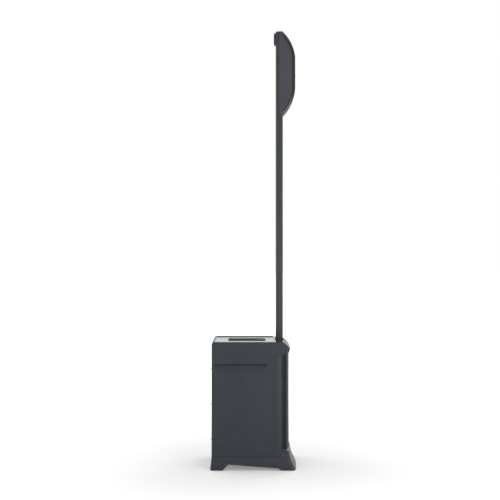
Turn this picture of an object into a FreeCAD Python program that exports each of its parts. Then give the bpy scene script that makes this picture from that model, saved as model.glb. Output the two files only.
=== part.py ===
"""Portable column loudspeaker: bass cabinet, two column spacers and a line-array head.

Frame: millimetres, +Z up, front towards -Y, X across. The origin is on the floor, at the centre of the
footprint. The cabinet holds the woofer, the amplifier and the mixer panel; the column stands in its top.
"""

import FreeCAD
import Part
import math
import os

V = FreeCAD.Vector
X_AXIS = V(1, 0, 0)
Y_AXIS = V(0, 1, 0)
Z_AXIS = V(0, 0, 1)
FAR = 2000.0  # reach of a cutting solid, past everything it cuts

# ---- overall ----
total_width = 371.0
total_depth = 440.0
body_top = 644.0
plinth_top = 69.0
cap_height = 72.0

# ---- clearances ----
fit_gap = 0.3  # between parts assembled side by side
slide_gap = 0.35  # round a spigot in its socket
turn_gap = 0.05  # round a shaft in its bore

# ---- outer form of the cabinet ----
side_flare = 5.0  # how far the feet stand out past the side walls
rear_flare = 7.0
toe_length = 40.0  # from the grille forward to the front of the feet
grille_bow = 18.0  # how far the grille's front falls back from its middle to its sides
toe_bow = 13.8  # the same for the plinth's toe
TOE_SHAPE = [(0, 0), (0.16, 3), (0.45, 13), (0.67, 20.5), (1.0, 28), (1.4, 33), (1.7, 35)]
nose_bow = 8.0  # the same for the cap's nose
nose_overhang = 7.5  # the cap's nose, past the grille
nose_rise = 18.0  # how much the cap's lower edge climbs towards the nose
nose_undercut = 5.0
nose_seam = 52.0  # from the nose back to the start of that climb
nose_shelf = 18.5  # from the nose back to the end of that climb
nose_length = 38.0
nose_curve = 41.0  # height of the nose's curve, from the top to the tip
NOSE_SHAPE = [(1.0, 0.0), (0.68, 0.12), (0.36, 0.36), (0.13, 0.64), (0.0, 1.0)]
corner_radius = 12.0
nose_corner = 18.0
cap_edge = 4.0
cap_rear_edge = 15.0
cap_wall = 5.0
tray_depth = 3.5
tray_margin = 14.0
tray_front = 84.5  # from the nose back to the tray's front wall
tray_corner = 8.0
roof_sheet = 3.5

# ---- side walls ----
shell_wall = 6.0
front_wall = 12.0  # the side wall thickens beside the baffle
front_wall_length = 27.0
strip_length = 19.0  # bevelled strip between a side wall and the grille
strip_inset = 3.5
groove_width = 2.0
groove_depth = 1.2
groove_setback = 18.0  # from the strip back to the groove
seam_height = 2.0  # of the step in the side wall under the cap and over the plinth
seam_depth = 2.0
scoop_depth = 9.0
scoop_drop = 36.0  # from the cap's seam down to the scoop's edge
scoop_height = 50.0
scoop_overhang = 11.0  # height of the slope from the scoop's edge in to its deepest line
scoop_front = 74.0  # from the shell's front edge back to the scoop
scoop_length = 265.0
scoop_taper = 22.0

# ---- plinth ----
plinth_wall = 6.0
plinth_corner = 14.0
lip_rise = 29.0  # the front lip, above plinth_top
lip_slope = 13.0  # what the lip gains at the side walls
lip_slope_length = 38.0
lip_thickness = 12.0  # from the grille's face back to the lip's inner face
lip_side_wall = 11.0
arch_rear = 31.0  # clear height of a side arch at its rear end
arch_front = 13.0
arch_start = 60.0  # from the rear of the feet
arch_end = 80.0  # from the front of the feet
end_arch_height = 10.0
end_arch_width = 220.0
foot_width = 62.0  # solid block over each pad; it runs on into the plinth's corner
foot_depth = 52.0
pad_thickness = 4.0
pad_recess = 1.5
pad_length = 44.0
pad_width = 34.0
pad_x = 148.0
pad_rear_y = 187.0
pad_front_y = -172.0

# ---- grille and baffle ----
grille_reach = 41.0  # from the shell's front edge forward to the grille
grille_inset = 5.0  # the grille's side, in from the side wall
grille_corner = 22.0
grille_sheet = 1.5
foam_sheet = 4.0
baffle_sheet = 15.0
baffle_reach = 6.0  # the baffle's front face, in front of the shell's edge

# ---- carry handle ----
pocket_width = 160.0
pocket_length = 192.0
pocket_depth = 46.0
pocket_centre_y = 36.0
pocket_corner = 14.0
bar_width = 44.0
bar_height = 22.0
bar_edge = 6.0
grip_sheet = 2.5
lug_length = 39.0
lug_gap = 7.0
rear_lug_length = 6.0

# ---- column ----
column_width = 92.0
column_depth = 35.5
column_corner = 8.0
column_wall = 3.0
column_setback = 56.0  # from the nose back to the column's centre line
section_length = 528.0
spigot_width = 80.0
spigot_depth = 23.5
spigot_corner = 5.0
spigot_length = 36.0
plug_height = 30.0
socket_floor = 8.0
socket_wall = 8.0
socket_spare = 1.0  # under a seated spigot
flange_width = 6.0
flange_rise = 1.0
gasket_width = 3.0
gasket_height = 4.0
contact_radius = 1.6
contact_height = 9.0
contact_pitch = 14.0
contact_count = 4

# ---- array head ----
pod_width = 98.0
pod_height = 432.0
pod_depth = 64.75  # in front of the column's front face
pod_end_radius = 205.0
pod_wall = 3.0
pod_seam = 16.5  # from the column's rear face forward to the pod's rear edge
rim_depth = 18.0  # the grille's band, measured in from the pod's outline
rim_corner = 12.0
rim_sheet = 1.5
window_width = 78.0
driver_count = 6
driver_pitch = 52.0
driver_radius = 25.0
driver_mouth = 22.0
driver_flange = 2.0
driver_depth = 20.0
driver_magnet_radius = 15.0
driver_magnet_height = 10.0
array_baffle_sheet = 5.0
array_baffle_reach = 12.0  # the baffle's front face, in front of the column's front
catch_width = 40.0
catch_height = 60.0
catch_depth = 10.0
catch_drop = 3.0
catch_bevel = 8.0

# ---- woofer ----
woofer_z = 245.0
woofer_radius = 129.0
woofer_hole = 118.0
flange_sheet = 5.0
flange_mouth = 104.0
basket_sheet = 4.0
basket_depth = 64.0
basket_back = 78.0
window_count = 6
magnet_radius = 72.0
magnet_height = 20.0
plate_sheet = 8.0
pole_radius = 24.0
coil_radius = 26.0
coil_sheet = 1.0
coil_gap = 2.0
coil_reach = 14.0
cone_radius = 95.0
cone_depth = 45.0
cone_sheet = 1.2
roll_radius = 8.0
roll_sheet = 1.0
spider_depth = 50.0
port_radius = 34.0
port_wall = 3.0
port_length = 115.0
port_x = 82.0
port_z = 470.0
port_gap = 0.5

# ---- control panel ----
panel_width = 196.0
panel_height = 400.0
panel_bottom = 122.0
panel_sheet = 2.0
panel_sink = 22.0
bezel_wall = 4.0
bezel_flange = 2.0
bezel_lip = 7.0
bezel_ledge = 6.0
channel_pitch = 50.0
jack_row = 34.0  # rows are measured down from the panel's top edge
button_row = 72.0
level_row = 108.0
tone_row = 146.0
line_row = 186.0
knob_radius = 8.0
master_radius = 12.0
knob_height = 14.0
knob_gap = 0.8
shaft_radius = 3.0
shaft_length = 13.0
jack_radius = 11.5
jack_mouth = 8.4
jack_depth = 26.0
tab_width = 7.0
tab_height = 3.4
tab_length = 4.6
tab_travel = 1.5
line_bore = 3.25
line_depth = 30.0
nut_reach = 6.6  # from the middle of a jack's nut to its corners
button_radius = 4.0
button_length = 14.0
button_reach = 4.5
button_travel = 2.5
board_gap = 28.0  # from the panel to the mixer board
board_sheet = 1.6
fin_height = 14.0
fin_sheet = 2.0
fin_count = 13
sink_width = 118.0
sink_height = 130.0
rocker_width = 12.0
rocker_height = 21.0
rocker_tilt = 9.0


# ---- values worked out from the driving dimensions ----
def bow_radius(half, bow):
    """Plan radius of a front that falls back by bow over its half-width."""
    return (half * half + bow * bow) / (2 * bow)


half_body = total_width / 2 - side_flare
rear_y = total_depth / 2 - rear_flare
toe_y = -total_depth / 2
grille_y = toe_y + toe_length
nose_y = grille_y - nose_overhang
grille_radius = bow_radius(half_body - grille_inset, grille_bow)
nose_radius = bow_radius(half_body - grille_inset, nose_bow)
toe_radius = bow_radius(total_width / 2, toe_bow)
nose_axis = nose_y + nose_radius
shell_front = grille_y + grille_reach
strip_y = shell_front + strip_length
cap_bottom = body_top - cap_height
lip_top = plinth_top + lip_rise
lip_side_top = lip_top + lip_slope
column_y = nose_y + column_setback
column_front = column_y - column_depth / 2
column_rear = column_y + column_depth / 2
column_base = body_top + flange_rise
joint_2 = column_base + section_length
joint_3 = joint_2 + section_length
array_top = joint_3 + section_length
floor_z = pad_thickness - pad_recess  # underside of the plinth
baffle_y = shell_front - baffle_reach
baffle_back = baffle_y + baffle_sheet
panel_y = rear_y - panel_sink
panel_top = panel_bottom + panel_height
channel_xs = [-1.5 * channel_pitch, -0.5 * channel_pitch, 0.5 * channel_pitch]
master_x = 1.5 * channel_pitch
board_y = panel_y - panel_sheet - board_gap
pod_rear = column_rear - pod_seam
pod_front = column_front - pod_depth
pod_bottom = array_top - pod_height
array_baffle_y = column_front - array_baffle_reach
driver_z = array_top - pod_height / 2


def box(x0, x1, y0, y1, z0, z1):
    return Part.makeBox(x1 - x0, y1 - y0, z1 - z0, V(x0, y0, z0))


def block(cx, cy, cz, sx, sy, sz):
    """A box given by its centre and its three sizes."""
    return box(cx - sx / 2, cx + sx / 2, cy - sy / 2, cy + sy / 2, cz - sz / 2, cz + sz / 2)


def rod(radius, start, direction, length):
    return Part.makeCylinder(radius, length, start, direction)


def fuse(shapes):
    """One solid out of touching or overlapping ones."""
    whole = shapes[0]
    for shape in shapes[1:]:
        whole = whole.fuse(shape)
    return whole.removeSplitter()


def cut(shape, tools):
    for tool in tools:
        shape = shape.cut(tool)
    return shape


def polygon(points):
    return Part.Face(Part.makePolygon(points + [points[0]]))


def side_prism(points, x0, x1):
    """Outline of (y, z) points, extruded across from x0 to x1."""
    return polygon([V(x0, y, z) for y, z in points]).extrude(V(x1 - x0, 0, 0))


def plan_prism(points, z0, z1):
    """Outline of (x, y) points, extruded upwards from z0 to z1."""
    return polygon([V(x, y, z0) for x, y in points]).extrude(V(0, 0, z1 - z0))


def turned(points, axis_point, axis):
    """Closed outline of points in space, turned a full circle about an axis."""
    return polygon(points).revolve(axis_point, axis, 360)


def upright_edges(shape, keep):
    """The straight vertical edges of a shape whose middle point passes the test keep(x, y)."""
    found = []
    for edge in shape.Edges:
        a = edge.Vertexes[0].Point
        b = edge.Vertexes[-1].Point
        if abs(a.x - b.x) < 1e-6 and abs(a.y - b.y) < 1e-6 and abs(a.z - b.z) > 0.1:
            if keep(a.x, a.y):
                found.append(edge)
    return found


def rounded_block(width, depth, cx, cy, z0, z1, radius):
    """Upright block with its four vertical edges rounded."""
    solid = box(cx - width / 2, cx + width / 2, cy - depth / 2, cy + depth / 2, z0, z1)
    return solid.makeFillet(radius, upright_edges(solid, lambda x, y: True))


def front_drop(x, radius):
    """How far a bowed front of that plan radius falls back at x from its middle."""
    return radius - math.sqrt(radius * radius - x * x)


def bowed_block(half, back, front, radius, z0, z1, corner=0.0):
    """Upright block whose front face is an arc in plan, with its front corners rounded."""
    side = front + front_drop(half, radius)
    left_back = V(-half, back, z0)
    right_back = V(half, back, z0)
    right = V(half, side, z0)
    left = V(-half, side, z0)
    arc = Part.Arc(right, V(0, front, z0), left).toShape()
    wire = Part.Wire([
        Part.makeLine(left_back, right_back),
        Part.makeLine(right_back, right),
        arc,
        Part.makeLine(left, left_back),
    ])
    solid = Part.Face(wire).extrude(V(0, 0, z1 - z0))
    if corner:
        solid = solid.makeFillet(corner, upright_edges(solid, lambda x, y: abs(y - side) < 1e-3))
    return solid


def save(name, shape):
    shape.exportStep(f"parts/{name}.step")


def group(shapes):
    return Part.makeCompound(shapes)


# ---- screws ----
def screw(point, direction, head_radius=3.5, head_height=2.2, shank_radius=1.75, shank_length=9.0):
    """Pan-head screw with a cross recess. The point is under the head; direction goes into the part."""
    outward = direction * -1
    head = rod(head_radius, point, outward, head_height)
    rim = [e for e in head.Edges if abs((e.CenterOfMass - point).dot(outward) - head_height) < 1e-6]
    head = head.makeFillet(head_height * 0.6, [e for e in rim if e.Closed])
    shank = rod(shank_radius, point - direction * 0.01, direction, shank_length)
    solid = head.fuse(shank).removeSplitter()
    sideways = V(0, 0, 1) if abs(direction.z) < 0.5 else V(1, 0, 0)
    across = direction.cross(sideways)
    slot_half = head_radius * 0.6
    slot_width = head_radius * 0.26
    slot_deep = head_height * 0.55
    for along, other in ((sideways, across), (across, sideways)):
        corner = point + outward * (head_height - slot_deep) - along * slot_half - other * (slot_width / 2)
        a = corner
        b = corner + along * (2 * slot_half)
        c = b + other * slot_width
        d = corner + other * slot_width
        solid = solid.cut(polygon([a, b, c, d]).extrude(outward * (slot_deep + 1)))
    return solid


def screw_hole(point, direction, shank_radius=1.75, shank_length=9.0):
    return rod(shank_radius + turn_gap, point - direction * 3, direction, shank_length + 3 + fit_gap)


# ---- outlines shared by the cabinet's parts ----
def ring(points, tail=None):
    """Solid of revolution about the nose's vertical axis, from an outline of (radius, z) points."""
    spots = [V(0, nose_axis - r, z) for r, z in points]
    if tail is None:
        face = polygon(spots)
    else:
        face = Part.Face(Part.Wire([tail] + [Part.makeLine(a, b) for a, b in zip(spots, spots[1:])]))
    return face.revolve(V(0, nose_axis, 0), Z_AXIS, 360)


def seam_points(drop):
    """The cap's lower edge as (radius, z) points, lowered by drop."""
    low = cap_bottom - drop
    high = cap_bottom + nose_rise - drop
    return [
        (nose_radius - nose_undercut, high),
        (nose_radius - nose_shelf, high - 1.5),
        (nose_radius - nose_seam, low),
        (nose_radius / 2, low),
    ]


def above_seam(gap):
    """Everything above the cap's lower edge, for trimming the parts under it."""
    points = [(nose_radius + 30, cap_bottom + nose_rise + 45)] + seam_points(gap)
    return ring(points + [(nose_radius / 2, body_top + 50), (nose_radius + 30, body_top + 50)])


def under_lip(gap):
    """Everything below the sloping top of the plinth's front lip, raised by gap."""
    slope_front = shell_front - lip_slope_length
    points = [
        (toe_y - 10, 0),
        (toe_y - 10, lip_top + gap),
        (slope_front, lip_top + gap),
        (shell_front, lip_side_top + gap),
        (shell_front + 1, lip_side_top + gap),
        (shell_front + 1, 0),
    ]
    return side_prism(points, -total_width, total_width)


def grille_block(inset, z0, z1):
    """Upright block bounded by the grille's outer face, pulled in by inset."""
    half = half_body - grille_inset - inset
    back = shell_front - fit_gap
    corner = grille_corner - inset
    return bowed_block(half, back, grille_y + inset, grille_radius - inset, z0, z1, corner)


# ---- top cap ----
def nose_line():
    """Curve of the nose from its tip up to the flat top."""
    points = []
    for along, down in reversed(NOSE_SHAPE):
        points.append(V(0, nose_y + along * nose_length, body_top - down * nose_curve))
    curve = Part.BSplineCurve()
    curve.interpolate(Points=points, InitialTangent=V(0, 0, 1), FinalTangent=V(0, 1, 0))
    return curve.toShape()


def cap_outside():
    flat_start = nose_radius - nose_length
    lower = [(flat_start, body_top), (nose_radius / 2, body_top)]
    lower += list(reversed(seam_points(0)))
    lower.append((nose_radius, body_top - nose_curve))
    solid = ring(lower, nose_line())
    low = cap_bottom - 5
    plan = bowed_block(half_body, rear_y, nose_y - 0.5, nose_radius, low, body_top + 5, nose_corner)
    rear = upright_edges(plan, lambda x, y: y > rear_y - 1)
    plan = plan.makeFillet(corner_radius, rear)
    over = box(-half_body, half_body, toe_y - 50, rear_y, cap_bottom - 50, body_top)
    tops = [e for e in over.Edges if abs(e.CenterOfMass.z - body_top) < 1]
    tops = [e for e in tops if abs(abs(e.CenterOfMass.x) - half_body) < 1]
    over = over.makeFillet(cap_edge, tops)
    back = box(-FAR, FAR, toe_y - 50, rear_y, cap_bottom - 50, body_top)
    edge = [e for e in back.Edges if abs(e.CenterOfMass.z - body_top) < 1]
    edge = [e for e in edge if abs(e.CenterOfMass.y - rear_y) < 1]
    back = back.makeFillet(cap_rear_edge, edge)
    return solid.common(plan).common(over).common(back)


def tray():
    front = nose_y + tray_front
    back = rear_y - tray_margin
    width = 2 * (half_body - tray_margin)
    middle = (front + back) / 2
    return rounded_block(width, back - front, 0, middle, body_top - tray_depth, body_top + 5, tray_corner)


def pocket(grow, z0, z1):
    width = pocket_width + 2 * grow
    length = pocket_length + 2 * grow
    return rounded_block(width, length, 0, pocket_centre_y, z0, z1, pocket_corner + grow)


def socket_block(grow, z0, z1):
    width = spigot_width + 2 * (slide_gap + socket_wall + grow)
    depth = spigot_depth + 2 * (slide_gap + socket_wall + grow)
    return rounded_block(width, depth, 0, column_y, z0, z1, spigot_corner + socket_wall)


socket_bottom = column_base - spigot_length - socket_spare - socket_floor


def make_top_cap():
    cap = cap_outside().cut(tray())
    roof = body_top - tray_depth - roof_sheet
    inner = half_body - cap_wall
    cavity_front = column_rear + socket_wall
    cap = cap.cut(box(-inner, inner, cavity_front, rear_y - cap_wall, cap_bottom - 1, roof))
    bottom = body_top - pocket_depth
    cap = cap.fuse(pocket(cap_wall, bottom - cap_wall, roof + 1))
    cap = cap.cut(pocket(0, bottom, body_top + 5))
    cap = cap.cut(socket_block(fit_gap, socket_bottom - 30, body_top + 5))
    for point in lug_screw_points():
        cap = cap.cut(screw_hole(point, V(0, 0, -1)))
    return cap.removeSplitter()


# ---- handle ----
pocket_front = pocket_centre_y - pocket_length / 2
pocket_rear = pocket_centre_y + pocket_length / 2
lug_back = pocket_front + lug_length
grip_front = lug_back + lug_gap
grip_back = pocket_rear - rear_lug_length
lug_foot = 12.0  # thickness of the lug's foot on the pocket's floor


def lug_screw_points():
    level = body_top - pocket_depth
    y = pocket_front + lug_length / 2
    return [V(x, y, level + lug_foot) for x in (-bar_width, bar_width)]


def make_handle_bar():
    bottom = body_top - bar_height
    core_half = bar_width / 2 - grip_sheet
    core = box(-core_half, core_half, lug_back - 2, grip_back + 2, bottom + grip_sheet, body_top - grip_sheet)
    level = body_top - pocket_depth
    lug = box(-bar_width / 2, bar_width / 2, pocket_front, lug_back, level, body_top)
    tops = [e for e in lug.Edges if abs(e.CenterOfMass.z - body_top) < 1]
    longs = [e for e in tops if abs(abs(e.CenterOfMass.x) - bar_width / 2) < 1]
    lug = lug.makeFillet(bar_edge, longs)
    foot_half = bar_width + 10
    foot = box(-foot_half, foot_half, pocket_front + 3, lug_back - 3, level, level + lug_foot)
    rear = box(-bar_width / 2, bar_width / 2, grip_back, pocket_rear, bottom, body_top)
    bar = fuse([core, lug, foot, rear])
    for point in lug_screw_points():
        bar = bar.cut(screw_hole(point, V(0, 0, -1)))
    return bar


def make_handle_grip():
    bottom = body_top - bar_height
    core_half = bar_width / 2 - grip_sheet
    outer = box(-bar_width / 2, bar_width / 2, grip_front, grip_back - fit_gap, bottom, body_top)
    longs = [e for e in outer.Edges if e.BoundBox.YLength > 1]
    outer = outer.makeFillet(bar_edge, longs)
    bore_bottom = bottom + grip_sheet
    bore_top = body_top - grip_sheet
    return outer.cut(box(-core_half, core_half, grip_front - 5, grip_back + 5, bore_bottom, bore_top))


# ---- cabinet shell ----
def make_cabinet_shell():
    lower = box(-half_body, half_body, shell_front, rear_y, plinth_top, lip_side_top)
    front_half = half_body - strip_inset
    outline = [
        (-half_body, rear_y), (half_body, rear_y), (half_body, strip_y), (front_half, shell_front),
        (-front_half, shell_front), (-half_body, strip_y),
    ]
    upper = plan_prism(outline, lip_side_top, cap_bottom + nose_rise).cut(above_seam(0))
    shell = lower.fuse(upper).removeSplitter()
    shell = shell.makeFillet(corner_radius, upright_edges(shell, lambda x, y: y > rear_y - 1))
    inner = half_body - shell_wall
    shell = shell.cut(box(-inner, inner, shell_front + front_wall_length, rear_y - shell_wall, 0, FAR))
    narrow = half_body - front_wall
    shell = shell.cut(box(-narrow, narrow, shell_front - 5, shell_front + front_wall_length + 1, 0, FAR))
    shell = shell.fuse(scoop_backing())
    for side in (-1, 1):
        shell = shell.cut(scoop(side))
        groove_y = strip_y + groove_setback
        outside = side * half_body
        shell = shell.cut(block(outside, groove_y, 300, 2 * groove_depth, groove_width, FAR))
    for z in (plinth_top, cap_bottom):
        shell = shell.cut(seam_groove(z))
    shell = shell.cut(bezel_block(fit_gap, rear_y - 60, rear_y + 5))
    for point in bezel_screw_points():
        shell = shell.cut(screw_hole(point, V(0, -1, 0), shank_length=8))
    return shell.removeSplitter()


def seam_groove(z):
    """Thin frame that takes a step out of the shell's outside at height z."""
    outer = box(-FAR, FAR, shell_front, FAR, z - seam_height, z + seam_height)
    width = 2 * (half_body - seam_depth)
    depth = 2 * (rear_y - seam_depth)
    inner = rounded_block(width, depth, 0, 0, z - seam_height - 1, z + seam_height + 1, corner_radius)
    return outer.cut(inner)


def scoop_span():
    front = shell_front + scoop_front
    return front, front + scoop_length


def scoop(side):
    top = cap_bottom - scoop_drop
    bottom = top - scoop_height
    front, back = scoop_span()
    outside = side * (half_body + 1)
    deep = side * (half_body - scoop_depth)
    outline = [V(outside, front, top), V(deep, front, top - scoop_overhang), V(outside, front, bottom)]
    wedge = polygon(outline).extrude(V(0, back - front, 0))
    ends = [(front, top), (back, top), (back - scoop_taper, bottom), (front + scoop_taper, bottom)]
    return wedge.common(side_prism(ends, -FAR, FAR))


def scoop_backing():
    """Thicker wall behind each scoop, on the inside of the shell."""
    top = cap_bottom - scoop_drop
    front, back = scoop_span()
    pads = []
    for side in (-1, 1):
        near = side * (half_body - shell_wall + 1)
        deep = side * (half_body - scoop_depth - shell_wall)
        low, high = sorted((near, deep))
        pads.append(box(low, high, front - 5, back + 3, top - scoop_height - 5, top + 8))
    return pads[0].fuse(pads[1])


# ---- plinth ----
def toe_offset(z):
    """How far the plinth's front has fallen back from the toe at height z."""
    share = z / plinth_top
    for (a, low), (b, high) in zip(TOE_SHAPE, TOE_SHAPE[1:]):
        if share <= b:
            return low + (high - low) * (share - a) / (b - a)
    return TOE_SHAPE[-1][1]


def plinth_wire(z, inset):
    """Closed plan outline of the plinth at height z, pulled in by inset."""
    flare = max(0.0, 1 - z / plinth_top)
    half = half_body + side_flare * flare - inset
    back = rear_y + rear_flare * flare - inset
    front = toe_y + toe_offset(z) + inset
    corner = plinth_corner
    near = half - corner
    side = front + front_drop(near, toe_radius)
    bend = corner * (1 - math.sqrt(0.5))
    round_back = corner_radius * (1 - math.sqrt(0.5))
    edges = [
        Part.makeLine(V(-half + corner_radius, back, z), V(half - corner_radius, back, z)),
        Part.Arc(
            V(half - corner_radius, back, z), V(half - round_back, back - round_back, z),
            V(half, back - corner_radius, z),
        ).toShape(),
        Part.makeLine(V(half, back - corner_radius, z), V(half, side + corner, z)),
        Part.Arc(V(half, side + corner, z), V(half - bend, side + bend, z), V(near, side, z)).toShape(),
        Part.Arc(V(near, side, z), V(0, front, z), V(-near, side, z)).toShape(),
        Part.Arc(V(-near, side, z), V(-half + bend, side + bend, z), V(-half, side + corner, z)).toShape(),
        Part.makeLine(V(-half, side + corner, z), V(-half, back - corner_radius, z)),
        Part.Arc(
            V(-half, back - corner_radius, z), V(-half + round_back, back - round_back, z),
            V(-half + corner_radius, back, z),
        ).toShape(),
    ]
    return Part.Wire(edges)


def plinth_loft(heights, inset):
    return Part.makeLoft([plinth_wire(z, inset) for z in heights], True, False)


def side_arch():
    rear = rear_y + rear_flare - arch_start
    front = toe_y + arch_end
    outline = [
        (rear, -1), (rear, 0), (rear - arch_rear, arch_rear), (front + 20, arch_front), (front, 0),
        (front, -1),
    ]
    return side_prism(outline, -FAR, FAR)


def above_lip():
    """Everything above the sloping top of the plinth's front lip."""
    return side_prism([
        (toe_y - 10, lip_top), (shell_front - lip_slope_length, lip_top), (shell_front, lip_side_top),
        (shell_front + 5, lip_side_top), (shell_front + 5, body_top), (toe_y - 10, body_top),
    ], -FAR, FAR)


def make_plinth():
    sheet = plinth_wall
    plinth = plinth_loft([floor_z, 15, 30, 46, plinth_top, lip_top, lip_side_top + 12], 0)
    plinth = plinth.cut(box(-FAR, FAR, shell_front, FAR, plinth_top, FAR))
    plinth = plinth.cut(above_lip())
    inner = half_body - lip_side_wall
    front = grille_y + lip_thickness
    plinth = plinth.cut(bowed_block(inner, shell_front + 5, front, grille_radius, plinth_top, body_top))
    cavity = plinth_loft([floor_z - 2, 20, 40, plinth_top - sheet], sheet)
    for x, y in pad_places():
        out_x = math.copysign(FAR, x)
        out_y = math.copysign(FAR, y)
        near_x = x - math.copysign(foot_width / 2, x)
        near_y = y - math.copysign(foot_depth / 2, y)
        xs = sorted((near_x, out_x))
        ys = sorted((near_y, out_y))
        cavity = cavity.cut(box(xs[0], xs[1], ys[0], ys[1], -5, plinth_top))
    plinth = plinth.cut(cavity)
    plinth = plinth.cut(side_arch())
    half = end_arch_width / 2
    plinth = plinth.cut(box(-half, half, -FAR, FAR, 0, end_arch_height))
    for x, y in pad_places():
        plinth = plinth.cut(rounded_block(pad_width + 0.6, pad_length + 0.6, x, y, 0, pad_thickness, 6.3))
    return plinth.removeSplitter()


def pad_places():
    return [(x, y) for x in (-pad_x, pad_x) for y in (pad_rear_y, pad_front_y)]


def make_rubber_feet():
    return group([rounded_block(pad_width, pad_length, x, y, 0, pad_thickness, 6) for x, y in pad_places()])


# ---- grille, foam and baffle ----
def make_front_grille():
    outer = grille_block(0, plinth_top, body_top)
    inner = grille_block(grille_sheet, plinth_top - 5, body_top + 5)
    return outer.cut(inner).cut(above_seam(fit_gap)).cut(under_lip(fit_gap))


def make_grille_foam():
    start = grille_sheet + 0.1
    outer = grille_block(start, plinth_top, body_top)
    inner = grille_block(start + foam_sheet, plinth_top - 5, body_top + 5)
    foam = outer.cut(inner)
    foam = foam.cut(box(-FAR, FAR, baffle_y - fit_gap, FAR, 0, FAR))
    return foam.cut(above_seam(fit_gap)).cut(under_lip(fit_gap))


def woofer_point(depth):
    return V(0, baffle_y + depth, woofer_z)


def disc(radius, depth_0, depth_1):
    return rod(radius, woofer_point(depth_0), Y_AXIS, depth_1 - depth_0)


def woofer_turned(points):
    """Solid turned about the woofer's axis from (radius, depth) points; depth runs back from the baffle."""
    spots = [V(r, baffle_y + d, woofer_z) for r, d in points]
    return turned(spots, woofer_point(0), Y_AXIS)


def woofer_screw_points():
    points = []
    for k in range(8):
        angle = math.radians(22.5 + 45 * k)
        reach = (woofer_radius + woofer_hole) / 2
        points.append(V(reach * math.cos(angle), baffle_y - flange_sheet, woofer_z + reach * math.sin(angle)))
    return points


def make_front_baffle():
    half = half_body - front_wall - fit_gap
    baffle = box(-half, half, baffle_y, baffle_back, plinth_top, cap_bottom)
    baffle = baffle.cut(disc(woofer_hole, -5, baffle_sheet + 5))
    for x in (-port_x, port_x):
        baffle = baffle.cut(rod(port_radius + port_wall + port_gap, V(x, baffle_y - 5, port_z), Y_AXIS, 40))
    for point in woofer_screw_points():
        baffle = baffle.cut(screw_hole(point, Y_AXIS, shank_length=14))
    return baffle


# ---- woofer ----
def make_woofer_basket():
    ring_part = woofer_turned([
        (flange_mouth, -flange_sheet), (woofer_radius, -flange_sheet), (woofer_radius, 0),
        (flange_mouth + 6, 0), (basket_back + 6, spider_depth), (basket_back + 6, basket_depth),
        (pole_radius + 12, basket_depth), (pole_radius + 12, basket_depth - basket_sheet),
        (basket_back, basket_depth - basket_sheet), (basket_back, spider_depth + 3),
        (basket_back - 8, spider_depth + 3), (basket_back - 8, spider_depth + 1),
        (basket_back, spider_depth + 1), (flange_mouth, 4),
    ])
    for k in range(window_count):
        gap = block(0, baffle_y + 26, woofer_z + 95, 58, 22, 60)
        gap.rotate(woofer_point(0), Y_AXIS, 360.0 / window_count * k)
        ring_part = ring_part.cut(gap)
    for point in woofer_screw_points():
        ring_part = ring_part.cut(screw_hole(point, Y_AXIS, shank_length=14))
    return ring_part


def make_woofer_magnet():
    front = basket_depth
    washer = front + plate_sheet
    back = washer + magnet_height
    mouth = pole_radius + coil_gap * 2
    return woofer_turned([
        (0, front), (pole_radius, front), (pole_radius, back), (magnet_radius - 14, back),
        (magnet_radius - 14, washer), (mouth, washer), (mouth, front), (magnet_radius - 2, front),
        (magnet_radius - 2, washer), (magnet_radius, washer), (magnet_radius, back),
        (magnet_radius - 2, back), (magnet_radius - 2, back + plate_sheet), (0, back + plate_sheet),
    ])


def make_woofer_cone():
    edge = -flange_sheet
    neck = edge + cone_depth
    wall = coil_sheet / 2
    end = basket_depth + coil_reach
    cup = neck - 6
    return woofer_turned([
        (cone_radius, edge), (cone_radius, edge + cone_sheet), (coil_radius + wall, neck + cone_sheet),
        (coil_radius + wall, end), (coil_radius - wall, end), (coil_radius - wall, neck),
        (coil_radius - 6, cup - 4), (coil_radius - 16, cup - 7), (0, cup - 8), (0, cup - 8 - cone_sheet),
        (coil_radius - 15, cup - 7 - cone_sheet), (coil_radius + 4, neck - 4),
    ])


def make_woofer_surround():
    """Half-roll of rubber from the cone's edge to the front of the basket's flange."""
    edge = -flange_sheet
    middle = cone_radius + fit_gap + roll_radius
    outer = []
    inner = []
    steps = 16
    for k in range(steps + 1):
        angle = math.pi * (1 - k / steps)
        outer.append((middle + roll_radius * math.cos(angle), edge - roll_radius * math.sin(angle)))
        small = roll_radius - roll_sheet
        inner.append((middle + small * math.cos(angle), edge - small * math.sin(angle)))
    land = middle + roll_radius + 6
    outer += [(land, edge - roll_sheet), (land, edge)]
    inner[0] = (middle - roll_radius + roll_sheet, edge)
    outer[-3] = (middle + roll_radius, edge - roll_sheet)
    return woofer_turned(outer + list(reversed(inner)))


def make_woofer_spider():
    """Corrugated disc that centres the coil."""
    inner = coil_radius + coil_sheet / 2 + fit_gap
    outer = basket_back - 1
    top = []
    steps = 24
    for k in range(steps + 1):
        r = inner + (outer - inner) * k / steps
        wave = 0.0 if k == 0 or k > steps - 5 else 2.2 * math.sin(k * math.pi / 2)
        top.append((r, spider_depth + wave))
    bottom = [(r, d + 0.8) for r, d in top]
    return woofer_turned(top + list(reversed(bottom)))


def make_port_tubes():
    tubes = []
    for x in (-port_x, port_x):
        spots = [
            V(x + port_radius, baffle_y + port_length, port_z), V(x + port_radius, baffle_y + 4, port_z),
            V(x + port_radius + 5, baffle_y - 2, port_z), V(x + port_radius + 11, baffle_y - 2, port_z),
            V(x + port_radius + 11, baffle_y, port_z), V(x + port_radius + port_wall, baffle_y, port_z),
            V(x + port_radius + port_wall, baffle_y + port_length, port_z),
        ]
        tubes.append(turned(spots, V(x, 0, port_z), Y_AXIS))
    return group(tubes)


# ---- column: socket, spigots, spacers ----
def column_block(grow, z0, z1):
    return rounded_block(
        column_width + 2 * grow, column_depth + 2 * grow, 0, column_y, z0, z1, column_corner + grow
    )


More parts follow.
